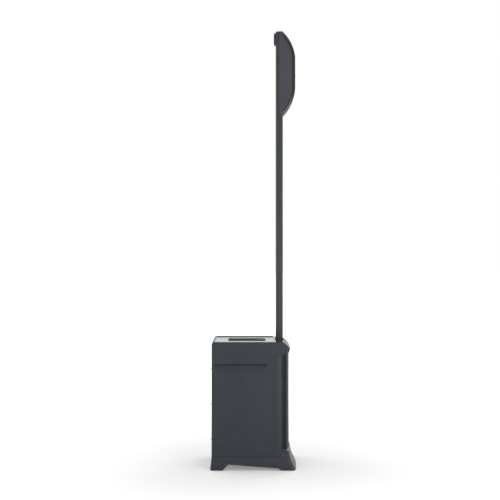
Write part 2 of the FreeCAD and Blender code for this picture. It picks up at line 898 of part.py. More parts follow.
def spigot_block(grow, z0, z1):
    return rounded_block(
        spigot_width + 2 * grow, spigot_depth + 2 * grow, 0, column_y, z0, z1, spigot_corner + grow
    )


def contact_xs():
    first = -contact_pitch * (contact_count - 1) / 2
    return [first + contact_pitch * k for k in range(contact_count)]


def contacts(floor, grow):
    """The pins standing on a socket's floor, or with grow the bores that take them."""
    pins = []
    for x in contact_xs():
        pin = rod(contact_radius + grow, V(x, column_y, floor - 3), Z_AXIS, contact_height + 3 + grow)
        pins.append(pin if grow else pin.makeFillet(contact_radius * 0.6, [pin.Edges[0]]))
    return pins


def socket_floor_z(joint):
    return joint - spigot_length - socket_spare


def socket_recess(joint):
    return spigot_block(slide_gap, socket_floor_z(joint), joint + 5)


def make_column_socket():
    body = socket_block(0, socket_bottom, column_base)
    half_w = column_width / 2 + flange_width
    half_d = column_depth / 2 + flange_width
    flange = rounded_block(
        2 * half_w, 2 * half_d, 0, column_y, body_top, column_base, column_corner + flange_width
    )
    socket = body.fuse(flange).cut(socket_recess(column_base))
    for x in contact_xs():
        hole = rod(contact_radius + turn_gap, V(x, column_y, socket_floor_z(column_base) - 3), Z_AXIS, 10)
        socket = socket.cut(hole)
    return socket.removeSplitter()


def make_socket_contacts():
    return group(contacts(socket_floor_z(column_base), 0))


def make_socket_gasket():
    outer = column_block(slide_gap + gasket_width, column_base, column_base + gasket_height)
    top = [e for e in outer.Edges if abs(e.BoundBox.ZMin - column_base - gasket_height) < 1e-6]
    outer = outer.makeFillet(1.2, top)
    return outer.cut(column_block(slide_gap, column_base - 5, column_base + gasket_height + 5))


def tube(z0, z1):
    shape = column_block(0, z0, z1)
    return shape.cut(column_block(-column_wall, z0 - 5, z1 + 5))


def spigot(joint):
    """Plug that fills the foot of a column section, with the spigot below it."""
    inside = -column_wall - turn_gap
    plug = column_block(inside, joint, joint + plug_height)
    tongue = spigot_block(0, joint - spigot_length, joint + 1)
    tips = [e for e in tongue.Edges if abs(e.BoundBox.ZMax - joint + spigot_length) < 1e-6]
    tongue = tongue.makeChamfer(1.5, tips)
    solid = plug.fuse(tongue).removeSplitter()
    return cut(solid, contacts(joint - spigot_length - socket_spare, 0.4))


def socket_insert(joint):
    """Socket that fills the head of a column section, under the next joint."""
    inside = -column_wall - turn_gap
    body = column_block(inside, socket_floor_z(joint) - socket_floor, joint)
    body = body.cut(socket_recess(joint))
    return fuse([body] + contacts(socket_floor_z(joint), 0))


# ---- array head ----
def arc_height(reach, radius):
    """Half-height of the pod's end arc where it is reach behind the arc's front."""
    return math.sqrt(radius * radius - (radius - reach) ** 2)


def pod_outline(inset):
    """D-shaped wire in the plane x = 0: straight back and front, with an arc at each end."""
    radius = pod_end_radius - inset
    front = pod_front + inset
    centre_y = pod_front + pod_end_radius
    rise = arc_height(pod_depth, pod_end_radius)
    half = math.sqrt(radius * radius - (centre_y - column_front) ** 2)
    lean = math.atan2(half, centre_y - column_front) / 2
    arc_y = centre_y - radius * math.cos(lean)
    arc_z = radius * math.sin(lean)
    high_centre = array_top - rise
    low_centre = pod_bottom + rise
    high = V(0, column_front, high_centre + half)
    low = V(0, column_front, low_centre - half)
    front_high = V(0, front, high_centre)
    front_low = V(0, front, low_centre)
    return Part.Wire([
        Part.makeLine(low, high),
        Part.Arc(high, V(0, arc_y, high_centre + arc_z), front_high).toShape(),
        Part.makeLine(front_high, front_low),
        Part.Arc(front_low, V(0, arc_y, low_centre - arc_z), low).toShape(),
    ])


def pod_prism(half, inset):
    face = Part.Face(pod_outline(inset))
    face.translate(V(-half, 0, 0))
    return face.extrude(V(2 * half, 0, 0))


def rim_block(half, inset, radius):
    """Front part of the pod with its long curved edges rounded."""
    solid = pod_prism(half, inset)
    rims = []
    for edge in solid.Edges:
        middle = edge.valueAt((edge.FirstParameter + edge.LastParameter) / 2)
        if abs(abs(middle.x) - half) < 1e-3 and abs(middle.y - column_front) > 1:
            rims.append(edge)
    return solid.makeFillet(radius, rims)


def make_array_grille():
    half = pod_width / 2
    outer = rim_block(half, 0, rim_corner)
    inner = rim_block(half - rim_sheet, rim_sheet, rim_corner - rim_sheet)
    sheet = outer.cut(inner)
    sheet = sheet.cut(pod_prism(half + 5, rim_depth - fit_gap))
    return sheet.cut(box(-FAR, FAR, column_front - fit_gap, FAR, 0, FAR))


def pod_body(half, inset):
    front = pod_prism(half, rim_depth + inset)
    rear = box(-half, half, column_front - 0.01, pod_rear, pod_bottom + inset, array_top - inset)
    return front.fuse(rear).removeSplitter()


def make_array_housing():
    half = pod_width / 2
    body = pod_body(half, 0)
    inner = pod_body(half - pod_wall, pod_wall)
    inner_half = half - pod_wall
    open_rear = box(
        -inner_half, inner_half, pod_rear - 10, pod_rear + 1, pod_bottom + pod_wall, array_top - pod_wall
    )
    body = body.cut(inner).cut(open_rear)
    window_half = window_width / 2
    opening = driver_pitch * driver_count / 2 + 8
    low = driver_z - opening
    body = body.cut(box(-window_half, window_half, -FAR, column_front - 20, low, driver_z + opening))
    return body.removeSplitter()


def make_array_spine():
    whole = tube(joint_3, array_top)
    notch = box(-FAR, FAR, -FAR, pod_rear, pod_bottom, array_top + 5)
    spine = whole.cut(notch)
    lid = column_block(-column_wall, array_top - column_wall, array_top)
    lid = lid.cut(notch)
    shelf = column_block(-column_wall, pod_bottom - column_wall, pod_bottom)
    return fuse([spine, lid, shelf])


def make_array_baffle():
    half = pod_width / 2 - pod_wall - fit_gap
    opening = driver_pitch * driver_count / 2 + 6
    back = array_baffle_y + array_baffle_sheet
    sheet = box(-half, half, array_baffle_y, back, driver_z - opening, driver_z + opening)
    for z in driver_zs():
        sheet = sheet.cut(rod(driver_mouth + 1, V(0, array_baffle_y - 5, z), Y_AXIS, 20))
    return sheet


def driver_zs():
    first = driver_z - driver_pitch * (driver_count - 1) / 2
    return [first + driver_pitch * k for k in range(driver_count)]


def driver_turned(z, points):
    spots = [V(r, array_baffle_y + d, z) for r, d in points]
    return turned(spots, V(0, array_baffle_y, z), Y_AXIS)


def make_driver_frames():
    frames = []
    back = driver_depth
    for z in driver_zs():
        frames.append(driver_turned(z, [
            (driver_mouth, -driver_flange), (driver_radius, -driver_flange), (driver_radius, 0),
            (driver_mouth + 0.8, 0), (driver_magnet_radius + 1, back), (9, back), (9, back - 1.5),
            (driver_magnet_radius - 0.5, back - 1.5), (driver_mouth, 0),
        ]))
    return group(frames)


def make_driver_magnets():
    magnets = []
    back = driver_depth + driver_magnet_height
    for z in driver_zs():
        magnets.append(driver_turned(z, [
            (0, driver_depth), (5, driver_depth), (5, back - 3), (7.5, back - 3), (7.5, driver_depth),
            (driver_magnet_radius, driver_depth), (driver_magnet_radius, back), (0, back),
        ]))
    return group(magnets)


def make_driver_cones():
    """Cone, dust cap and coil former of each small driver."""
    cones = []
    for z in driver_zs():
        cones.append(driver_turned(z, [
            (17.5, -1.2), (17.5, -0.6), (6.6, 9.6), (6.6, driver_depth + 4), (6.0, driver_depth + 4),
            (6.0, 9.0), (5.0, 6.0), (0, 3.6), (0, 3.0), (5.6, 5.2), (8.0, 7.0),
        ]))
    return group(cones)


def make_driver_surrounds():
    rolls = []
    for z in driver_zs():
        rolls.append(driver_turned(z, [
            (17.8, -1.2), (18.6, -2.4), (19.6, -2.9), (20.6, -2.6), (21.4, -1.6), (21.9, -1.6), (21.9, -1.0),
            (21.0, -1.0), (20.3, -1.9), (19.6, -2.3), (18.9, -1.9), (18.2, -0.6), (17.8, -0.6),
        ]))
    return group(rolls)


def make_array_catch():
    back = column_rear + catch_depth
    top = array_top - catch_drop
    bottom = top - catch_height
    outline = [
        (column_rear, bottom), (column_rear, top), (back - 3, top), (back, top - catch_bevel),
        (back, bottom + catch_bevel), (back - 3, bottom),
    ]
    body = side_prism(outline, -catch_width / 2, catch_width / 2)
    for k in range(5):
        z = bottom + 14 + 7 * k
        body = body.cut(box(-catch_width / 2 + 5, catch_width / 2 - 5, back - 1.2, back + 1, z, z + 2.5))
    return body


# ---- control panel ----
def bezel_block(grow, y0, y1):
    half = panel_width / 2 + fit_gap + bezel_wall + grow
    z0 = panel_bottom - fit_gap - bezel_wall - grow
    z1 = panel_top + fit_gap + bezel_wall + grow
    return box(-half, half, y0, y1, z0, z1)


def bezel_screw_points():
    half = panel_width / 2 + bezel_wall + bezel_lip / 2 + 1
    mid = (panel_bottom + panel_top) / 2
    reach = panel_height / 2 - 20
    return [V(x, rear_y + bezel_flange, z) for x in (-half, half) for z in (mid - reach, mid, mid + reach)]


def panel_screw_points():
    x = panel_width / 2 - 5
    zs = (panel_bottom + 8, (panel_bottom + panel_top) / 2, panel_top - 8)
    return [V(side * x, panel_y, z) for side in (-1, 1) for z in zs]


def make_panel_bezel():
    inner = box(
        -panel_width / 2 - fit_gap, panel_width / 2 + fit_gap, rear_y - 200, rear_y + 10,
        panel_bottom - fit_gap, panel_top + fit_gap,
    )
    back = panel_y - panel_sheet - 10
    body = bezel_block(0, back, rear_y + 1)
    flange = bezel_block(bezel_lip, rear_y, rear_y + bezel_flange)
    corners = [e for e in flange.Edges if abs(e.BoundBox.YLength - bezel_flange) < 1e-6]
    flange = flange.makeFillet(5, corners)
    bezel = body.fuse(flange).cut(inner)
    ledge_y = panel_y - panel_sheet
    ledge = bezel_block(-bezel_wall / 2, ledge_y - 10, ledge_y)
    hole = box(
        -panel_width / 2 + bezel_ledge + 4, panel_width / 2 - bezel_ledge - 4, ledge_y - 20, ledge_y + 5,
        panel_bottom + bezel_ledge, panel_top - bezel_ledge,
    )
    bezel = bezel.fuse(ledge.cut(hole))
    for point in bezel_screw_points():
        bezel = bezel.cut(screw_hole(point, V(0, -1, 0), shank_length=8))
    for point in panel_screw_points():
        bezel = bezel.cut(screw_hole(point, V(0, -1, 0), shank_length=9))
    return bezel.removeSplitter()


def row(drop):
    return panel_top - drop


def on_panel(x, drop, out=0.0):
    return V(x, panel_y + out, row(drop))


def outward(point, radius, length):
    return rod(radius, point, Y_AXIS, length)


line_xs = [channel_xs[0], channel_xs[1]]
button_xs = [channel_xs[2], master_x]
meter_xs = [channel_xs[2] - 6 + 8 * k for k in range(4)] + [master_x]
inlet_x = 62.0
inlet_drop = 262.0
rocker_drop = 318.0
sink_x = -28.0
sink_drop = 300.0


def knob_places():
    """Name, x, row and radius of every knob."""
    places = []
    for number, x in enumerate(channel_xs, 1):
        places.append((f"level_knob_{number}", x, level_row, knob_radius))
        places.append((f"tone_knob_{number}", x, tone_row, knob_radius))
    places.append(("master_knob", master_x, (level_row + tone_row) / 2, master_radius))
    return places


def make_control_panel():
    plate = box(-panel_width / 2, panel_width / 2, panel_y - panel_sheet, panel_y, panel_bottom, panel_top)
    holes = []
    for _, x, drop, _ in knob_places():
        holes.append(outward(on_panel(x, drop, -10), shaft_radius + 0.4, 20))
    for x in channel_xs:
        holes.append(outward(on_panel(x, jack_row, -10), jack_radius + fit_gap, 20))
    for x in line_xs:
        holes.append(outward(on_panel(x, line_row, -10), 4.5 + fit_gap, 20))
    for x in button_xs:
        holes.append(outward(on_panel(x, button_row, -10), button_radius + fit_gap, 20))
    for x in meter_xs:
        holes.append(outward(on_panel(x, line_row, -10), 2.0, 20))
    holes.append(block(inlet_x, panel_y, row(inlet_drop), 28.6, 20, 20.6))
    holes.append(block(inlet_x, panel_y, row(rocker_drop), rocker_width + 5, 20, rocker_height + 7))
    for point in panel_screw_points():
        holes.append(screw_hole(point, V(0, -1, 0)))
    return cut(plate, holes)


def make_knob(x, drop, radius):
    """Skirted knob with grip flutes, a pointer groove and its shaft."""
    base = on_panel(x, drop, knob_gap)
    skirt = outward(base, radius + 1.5, 2.5)
    body = outward(base, radius, knob_height)
    rim = [e for e in body.Edges if e.Closed and abs(e.CenterOfMass.y - base.y - knob_height) < 1e-6]
    body = body.makeChamfer(1.2, rim)
    shape = fuse([body, skirt, outward(base + V(0, -shaft_length, 0), shaft_radius, shaft_length + 1)])
    flutes = []
    for k in range(12):
        angle = math.radians(15 + 30 * k)
        reach = radius + 0.7
        spot = base + V(reach * math.cos(angle), 3.5, reach * math.sin(angle))
        flutes.append(outward(spot, 1.3, knob_height))
    flutes.append(block(base.x, base.y + knob_height, base.z + radius / 2, 1.4, 1.6, radius))
    return cut(shape, flutes)


def make_button(x):
    base = on_panel(x, button_row, button_reach - button_length)
    body = outward(base, button_radius, button_length)
    rim = [e for e in body.Edges if e.Closed and abs(e.CenterOfMass.y - base.y - button_length) < 1e-6]
    return body.makeFillet(0.8, rim)


def tab_block(x, grow):
    """Release tab in the top of an input socket's flange, or with grow the slot it slides in."""
    near = 0.0 if grow else tab_travel + 0.2
    centre = on_panel(x, jack_row - jack_radius - 1.2)
    half = tab_width / 2 + grow
    high = tab_height / 2 + grow
    y0 = panel_y + near
    return box(centre.x - half, centre.x + half, y0, y0 + tab_length, centre.z - high, centre.z + high)


def make_input_sockets():
    sockets = []
    for x in channel_xs:
        flange = block(x, panel_y + 1.25, row(jack_row) + 1.5, 27, 2.5, 33)
        flange = flange.makeFillet(3, [e for e in flange.Edges if abs(e.BoundBox.YLength - 2.5) < 1e-6])
        barrel = outward(on_panel(x, jack_row, -jack_depth), jack_radius, jack_depth + 3.5)
        body = flange.fuse(barrel)
        body = body.cut(outward(on_panel(x, jack_row, -jack_depth + 6), jack_mouth, jack_depth + 10))
        core = outward(on_panel(x, jack_row, -jack_depth + 5), 6.4, jack_depth - 6)
        for k in range(3):
            angle = math.radians(90 + 90 * k)
            middle = on_panel(x, jack_row, -jack_depth + 10)
            spot = middle + V(3.6 * math.cos(angle), 0, -3.6 * math.sin(angle))
            core = core.cut(outward(spot, 1.3, jack_depth))
        body = body.fuse(core).cut(tab_block(x, turn_gap))
        sockets.append(body.removeSplitter())
    return group(sockets)


def make_line_jacks():
    jacks = []
    for x in line_xs:
        barrel = outward(on_panel(x, line_row, -line_depth + 3), 4.5, line_depth)
        shell = outward(on_panel(x, line_row, -line_depth + 3), 7.5, line_depth - 3 - panel_sheet)
        angles = [math.radians(60 * k) for k in range(6)]
        points = [V(nut_reach * math.cos(a), 0, nut_reach * math.sin(a)) for a in angles]
        nut = polygon([p + on_panel(x, line_row) for p in points]).extrude(V(0, 2.2, 0))
        jack = fuse([barrel, shell, nut])
        jacks.append(jack.cut(outward(on_panel(x, line_row, -line_depth + 5), line_bore, line_depth)))
    return group(jacks)


def make_indicator_lenses():
    lenses = []
    for x in meter_xs:
        lens = outward(on_panel(x, line_row, -panel_sheet - 3), 2.0 - turn_gap, panel_sheet + 4.2)
        rim = [e for e in lens.Edges if e.Closed and e.CenterOfMass.y > panel_y]
        lenses.append(lens.makeFillet(1.2, rim))
    return group(lenses)


def make_power_inlet():
    z = row(inlet_drop)
    flange = block(inlet_x, panel_y + 1.5, z, 48, 3, 27)
    flange = flange.makeFillet(4, [e for e in flange.Edges if abs(e.BoundBox.YLength - 3) < 1e-6])
    body = block(inlet_x, panel_y - 12, z, 28, 26, 20)
    inlet = flange.fuse(body).cut(block(inlet_x, panel_y - 5, z, 24.5, 20, 16.5))
    blades = []
    for dx, dz in ((-7, -2), (0, 2), (7, -2)):
        blades.append(block(inlet_x + dx, panel_y - 9, z + dz, 2, 16, 4))
    return fuse([inlet] + blades)


rocker_y = panel_y - 3.0
rocker_pin = 1.5


def make_rocker_frame():
    z = row(rocker_drop)
    flange = block(inlet_x, panel_y + 1, z, rocker_width + 9, 2, rocker_height + 11)
    flange = flange.makeFillet(2, [e for e in flange.Edges if abs(e.BoundBox.YLength - 2) < 1e-6])
    cup = block(inlet_x, panel_y - 9, z, rocker_width + 4.4, 20, rocker_height + 6.4)
    frame = flange.fuse(cup)
    frame = frame.cut(block(inlet_x, panel_y + 2, z, rocker_width + 0.6, 38, rocker_height + 3))
    bore = rod(rocker_pin + turn_gap, V(inlet_x - FAR, rocker_y, z), X_AXIS, 2 * FAR)
    bore = bore.common(block(inlet_x, rocker_y, z, rocker_width + 3, 10, 10))
    return frame.cut(bore).removeSplitter()


def make_power_rocker():
    """Rocker, resting in its off position: its lower half stands out."""
    z = row(rocker_drop)
    half = rocker_height / 2
    outline = [
        (5.0, half - 0.6), (3.6, 0), (5.0, -half + 0.6), (-2, -half), (-4.5, -3), (-4.5, 3), (-2, half),
    ]
    points = [(rocker_y + out, z + up) for out, up in outline]
    body = side_prism(points, inlet_x - rocker_width / 2, inlet_x + rocker_width / 2)
    pins = rod(rocker_pin, V(inlet_x - rocker_width / 2 - 1, rocker_y, z), X_AXIS, rocker_width + 2)
    rocker = body.fuse(pins).removeSplitter()
    rocker.rotate(V(inlet_x, rocker_y, z), X_AXIS, rocker_tilt)
    return rocker


def make_heat_sink():
    z = row(sink_drop)
    base = block(sink_x, panel_y + 2, z, sink_width, 4, sink_height)
    fins = []
    pitch = (sink_width - fin_sheet) / (fin_count - 1)
    for k in range(fin_count):
        x = sink_x - sink_width / 2 + fin_sheet / 2 + pitch * k
        fins.append(block(x, panel_y + 4 + fin_height / 2 - 0.5, z, fin_sheet, fin_height + 1, sink_height))
    return fuse([base] + fins)


# ---- electronics inside ----
def make_mixer_board():
    low = row(line_row + 22)
    board = box(-panel_width / 2 + 14, panel_width / 2 - 14, board_y - board_sheet, board_y, low, row(16))
    parts = [board]
    for _, x, drop, _ in knob_places():
        depth = board_gap - 6
        pot = block(x, board_y + depth / 2, row(drop), 13, depth, 13)
        hole = outward(on_panel(x, drop, knob_gap - shaft_length - 1), shaft_radius + turn_gap, 30)
        parts.append(pot.cut(hole))
    for x in button_xs:
        depth = board_gap - panel_sheet - (button_length - button_reach) - button_travel + panel_sheet - 1
        parts.append(block(x, board_y + depth / 2, row(button_row), 9, depth, 9))
    for k in range(4):
        parts.append(block(-60 + 40 * k, board_y + 3, row(line_row + 12), 18, 6, 8))
    board = fuse(parts)
    for x in channel_xs:
        board = board.cut(outward(on_panel(x, jack_row, -60), jack_radius + 1, 60))
    for x in line_xs:
        board = board.cut(outward(on_panel(x, line_row, -60), 8.5, 60))
    return board


def make_power_amplifier():
    z = row(sink_drop)
    y = panel_y - panel_sheet
    half = panel_width / 2 - 22
    chassis = box(-half, 40, y - 12, y, z - 60, z + 60)
    board = box(-half + 4, 36, y - 24, y - 22, z - 58, z + 58)
    posts = []
    for x in (-half + 10, 30):
        for dz in (-50, 50):
            posts.append(outward(V(x, y - 23, z + dz), 3, 12))
    core = rod(26, V(-40, y - 52, z + 24), Y_AXIS, 29)
    core = core.cut(rod(9, V(-40, y - 60, z + 24), Y_AXIS, 36.5))
    cans = [rod(9, V(x, y - 54, z - 34), Y_AXIS, 31) for x in (-60, -36, -12)]
    chip = block(12, y - 27, z + 20, 16, 8, 40)
    return fuse([chassis, board] + posts + [core, chip] + cans)


def cable(points, radius):
    """Round lead in straight runs, with a ball in each corner."""
    spots = [V(*p) for p in points]
    runs = []
    for a, b in zip(spots, spots[1:]):
        along = b - a
        length = along.Length
        runs.append(rod(radius, a, along * (1 / length), length))
    balls = [Part.makeSphere(radius * 1.02, spot) for spot in spots[1:-1]]
    return fuse(runs + balls)


def make_internal_wiring():
    """Leads from the amplifier to the woofer and to the column's socket."""
    y = panel_y - panel_sheet
    amp_z = row(sink_drop)
    basket_side = baffle_y + basket_depth
    bottom = socket_bottom
    woofer_lead = cable([
        (-20, y - 56, amp_z + 10), (-30, 90, amp_z + 30), (-70, 30, woofer_z + 70),
        (-90, basket_side + 30, woofer_z + 40), (-basket_back - 5, basket_side + 2.2, woofer_z + 12),
    ], 2.0)
    column_lead = cable([
        (30, y - 27, amp_z + 50), (40, 110, amp_z + 130), (20, 20, 480), (0, -70, 535), (0, -108, 556),
        (0, column_rear - 10, 580), (0, column_rear - 11, bottom - 0.4),
    ], 2.5)
    return group([woofer_lead, column_lead])


# ---- fasteners ----
def make_cabinet_screws():
    screws = []
    for point in woofer_screw_points():
        screws.append(screw(point, Y_AXIS, shank_length=14))
    for point in bezel_screw_points():
        screws.append(screw(point, V(0, -1, 0), shank_length=8))
    for point in panel_screw_points():
        screws.append(screw(point, V(0, -1, 0), head_radius=3.2))
    for point in lug_screw_points():
        screws.append(screw(point, V(0, 0, -1)))
    return group(screws)


def main():
    os.makedirs("parts", exist_ok=True)
    save("cabinet_shell", make_cabinet_shell())
    save("top_cap", make_top_cap())
    save("plinth", make_plinth())
    save("rubber_feet", make_rubber_feet())
    save("front_grille", make_front_grille())
    save("grille_foam", make_grille_foam())
    save("front_baffle", make_front_baffle())
    save("woofer_basket", make_woofer_basket())
    save("woofer_magnet", make_woofer_magnet())
    save("woofer_cone", make_woofer_cone())
    save("woofer_surround", make_woofer_surround())
    save("woofer_spider", make_woofer_spider())
    save("port_tubes", make_port_tubes())
    save("handle_bar", make_handle_bar())
    save("handle_grip", make_handle_grip())
    save("column_socket", make_column_socket())
    save("socket_contacts", make_socket_contacts())
    save("socket_gasket", make_socket_gasket())
    for name, low, high in (("lower", column_base, joint_2), ("upper", joint_2, joint_3)):
        save(f"{name}_spacer", tube(low, high))
        save(f"{name}_spigot", spigot(low))
        save(f"{name}_socket", socket_insert(high))
    save("array_spigot", spigot(joint_3))
    save("array_spine", make_array_spine())
    save("array_housing", make_array_housing())
    save("array_grille", make_array_grille())
    save("array_baffle", make_array_baffle())
    save("array_catch", make_array_catch())
    save("driver_frames", make_driver_frames())
    save("driver_magnets", make_driver_magnets())
    save("driver_cones", make_driver_cones())
    save("driver_surrounds", make_driver_surrounds())
    save("panel_bezel", make_panel_bezel())
    save("control_panel", make_control_panel())
    for name, x, drop, radius in knob_places():
        save(name, make_knob(x, drop, radius))
    for name, x in zip(("mode_button", "pair_button"), button_xs):
        save(name, make_button(x))
    for number, x in enumerate(channel_xs, 1):
        save(f"socket_tab_{number}", tab_block(x, 0))
    save("input_sockets", make_input_sockets())
    save("line_jacks", make_line_jacks())
    save("indicator_lenses", make_indicator_lenses())
    save("power_inlet", make_power_inlet())
    save("rocker_frame", make_rocker_frame())
    save("power_rocker", make_power_rocker())
    save("heat_sink", make_heat_sink())
    save("mixer_board", make_mixer_board())
    save("power_amplifier", make_power_amplifier())
    save("internal_wiring", make_internal_wiring())
    save("cabinet_screws", make_cabinet_screws())


main()
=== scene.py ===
"""Portable column loudspeaker: finish, perforated grilles, small detail, studio and camera."""

import math

import bmesh
import bpy
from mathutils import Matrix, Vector


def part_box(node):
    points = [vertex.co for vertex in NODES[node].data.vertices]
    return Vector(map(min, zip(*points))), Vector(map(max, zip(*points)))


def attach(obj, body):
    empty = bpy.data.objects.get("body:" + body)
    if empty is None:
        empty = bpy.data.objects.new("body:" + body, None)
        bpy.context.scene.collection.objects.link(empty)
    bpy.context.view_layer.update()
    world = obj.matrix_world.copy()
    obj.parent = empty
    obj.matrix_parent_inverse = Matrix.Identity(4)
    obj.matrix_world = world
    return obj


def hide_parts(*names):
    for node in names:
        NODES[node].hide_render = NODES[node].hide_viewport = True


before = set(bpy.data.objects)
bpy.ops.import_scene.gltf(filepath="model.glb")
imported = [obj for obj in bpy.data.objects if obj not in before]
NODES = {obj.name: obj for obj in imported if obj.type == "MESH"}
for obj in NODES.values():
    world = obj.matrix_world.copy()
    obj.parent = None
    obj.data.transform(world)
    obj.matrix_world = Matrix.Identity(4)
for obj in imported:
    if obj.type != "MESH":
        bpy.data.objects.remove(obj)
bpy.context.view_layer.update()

MM = 0.001


# ---- materials ----
def new_material(name):
    mat = bpy.data.materials.new(name)
    mat.use_nodes = True
    tree = mat.node_tree
    tree.nodes.clear()
    out = tree.nodes.new("ShaderNodeOutputMaterial")
    shader = tree.nodes.new("ShaderNodeBsdfPrincipled")
    tree.links.new(shader.outputs["BSDF"], out.inputs["Surface"])
    return mat, tree, shader


def noise(tree, scale, detail=4.0, rough=0.6, stretch=(1.0, 1.0, 1.0)):
    """Noise in the object's own space, so that it stays put in every view."""
    coords = tree.nodes.new("ShaderNodeTexCoord")
    place = tree.nodes.new("ShaderNodeMapping")
    place.inputs["Scale"].default_value = stretch
    tex = tree.nodes.new("ShaderNodeTexNoise")
    tex.inputs["Scale"].default_value = scale
    tex.inputs["Detail"].default_value = detail
    tex.inputs["Roughness"].default_value = rough
    tree.links.new(coords.outputs["Object"], place.inputs["Vector"])
    tree.links.new(place.outputs["Vector"], tex.inputs["Vector"])
    return tex.outputs["Fac"]


def spread(tree, value, low, high):
    """The 0.3 to 0.7 part of a value mapped to low to high."""
    step = tree.nodes.new("ShaderNodeMapRange")
    step.inputs["From Min"].default_value = 0.3
    step.inputs["From Max"].default_value = 0.7
    step.inputs["To Min"].default_value = low
    step.inputs["To Max"].default_value = high
    tree.links.new(value, step.inputs["Value"])
    return step.outputs["Result"]


def tint(tree, value, dark, light):
    """A colour that varies between dark and light with a value."""
    ramp = tree.nodes.new("ShaderNodeValToRGB")
    ramp.color_ramp.elements[0].position = 0.3
    ramp.color_ramp.elements[0].color = (*dark, 1)
    ramp.color_ramp.elements[1].position = 0.7
    ramp.color_ramp.elements[1].color = (*light, 1)
    tree.links.new(value, ramp.inputs["Fac"])
    return ramp.outputs["Color"]


def bump(tree, value, strength, distance):
    node = tree.nodes.new("ShaderNodeBump")
    node.inputs["Strength"].default_value = strength
    node.inputs["Distance"].default_value = distance
    tree.links.new(value, node.inputs["Height"])
    return node.outputs["Normal"]


def polished_tops(tree, rough, gloss):
    """Roughness that falls to gloss where the surface faces straight up, as on a rubbed top."""
    facing = tree.nodes.new("ShaderNodeNewGeometry")
    parts = tree.nodes.new("ShaderNodeSeparateXYZ")
    level = tree.nodes.new("ShaderNodeMapRange")
    level.inputs["From Min"].default_value = 0.93
    level.inputs["From Max"].default_value = 0.995
    mix = tree.nodes.new("ShaderNodeMix")
    mix.inputs["B"].default_value = gloss
    tree.links.new(facing.outputs["Normal"], parts.inputs["Vector"])
    tree.links.new(parts.outputs["Z"], level.inputs["Value"])
    tree.links.new(level.outputs["Result"], mix.inputs["Factor"])
    tree.links.new(rough, mix.inputs["A"])
    return mix.outputs["Result"]


def moulded(
    name, colour, rough=0.5, grain=900.0, depth=0.00012, swing=0.12, specular=0.5, coat=0.0, top_gloss=None
):
    """Moulded or coated surface: slow patches of tone, fine grain in the gloss and the bump."""
    mat, tree, shader = new_material(name)
    patches = noise(tree, 9.0, 3.0)
    grains = noise(tree, grain, 2.0, 0.5)
    dark = tuple(c * (1 - swing) for c in colour)
    light = tuple(c * (1 + swing) for c in colour)
    tree.links.new(tint(tree, patches, dark, light), shader.inputs["Base Color"])
    roughness = spread(tree, grains, rough - 0.06, rough + 0.08)
    if top_gloss is not None:
        roughness = polished_tops(tree, roughness, top_gloss)
    tree.links.new(roughness, shader.inputs["Roughness"])
    tree.links.new(bump(tree, grains, 0.35, depth), shader.inputs["Normal"])
    shader.inputs["Specular IOR Level"].default_value = specular
    shader.inputs["Coat Weight"].default_value = coat
    return mat


def metal(name, colour, rough=0.3, grain=(1.0, 1.0, 40.0), swing=0.1):
    """Bare or plated metal with faint drawn lines."""
    mat, tree, shader = new_material(name)
    lines = noise(tree, 160.0, 3.0, 0.6, grain)
    dark = tuple(c * (1 - swing) for c in colour)
    light = tuple(min(1.0, c * (1 + swing)) for c in colour)
    tree.links.new(tint(tree, lines, dark, light), shader.inputs["Base Color"])
    tree.links.new(spread(tree, lines, rough - 0.06, rough + 0.1), shader.inputs["Roughness"])
    tree.links.new(bump(tree, lines, 0.15, 0.00005), shader.inputs["Normal"])
    shader.inputs["Metallic"].default_value = 1.0
    return mat


def soft(name, colour, scale=1400.0, rough=0.9, depth=0.0006):
    """Foam, cloth or pulp: open cells or fibres."""
    mat, tree, shader = new_material(name)
    cells = noise(tree, scale, 5.0, 0.7)
    dark = tuple(c * 0.6 for c in colour)
    light = tuple(min(1.0, c * 1.5) for c in colour)
    tree.links.new(tint(tree, cells, dark, light), shader.inputs["Base Color"])
    tree.links.new(spread(tree, cells, rough - 0.08, rough + 0.05), shader.inputs["Roughness"])
    tree.links.new(bump(tree, cells, 0.6, depth), shader.inputs["Normal"])
    return mat


def dress(mat, *names):
    for name in names:
        mesh = NODES[name].data
        mesh.materials.clear()
        mesh.materials.append(mat)


body_grey = moulded("cabinet_texture", (0.0180, 0.0232, 0.0310), 0.45, specular=0.32, top_gloss=0.12)
plinth_grey = moulded("plinth_texture", (0.0180, 0.0230, 0.0302), 0.45, specular=0.35, top_gloss=0.25)
column_grey = moulded(
    "column_coat", (0.022, 0.028, 0.033), 0.42, grain=1500.0, depth=0.00006, specular=0.35, top_gloss=0.2
)
cheek_grey = moulded("array_texture", (0.036, 0.033, 0.042), 0.5, specular=0.35)
spine_grey = moulded("spine_coat", (0.022, 0.024, 0.028), 0.45, grain=1500.0, depth=0.00006, specular=0.35)
grille_black = moulded("grille_coat", (0.012, 0.012, 0.015), 0.5, grain=1500.0, depth=0.00005, specular=0.2)
rim_black = moulded("array_grille_coat", (0.010, 0.010, 0.012), 0.22, grain=1500.0, depth=0.00003)
black_plastic = moulded("black_moulding", (0.012, 0.012, 0.013), 0.45)
gloss_black = moulded("gloss_moulding", (0.010, 0.010, 0.011), 0.22, grain=400.0, depth=0.00002)
rubber_black = moulded("rubber", (0.016, 0.016, 0.017), 0.75, grain=700.0, depth=0.0002)
handle_grey = moulded("handle_moulding", (0.026, 0.029, 0.033), 0.5)
grip_black = moulded("grip_rubber", (0.020, 0.020, 0.022), 0.7, grain=500.0, depth=0.00025)
panel_black = moulded("panel_coat", (0.014, 0.015, 0.017), 0.5, grain=1100.0, depth=0.0001)
knob_black = moulded("knob_moulding", (0.018, 0.018, 0.020), 0.5)
master_grey = moulded("master_moulding", (0.085, 0.088, 0.095), 0.45)
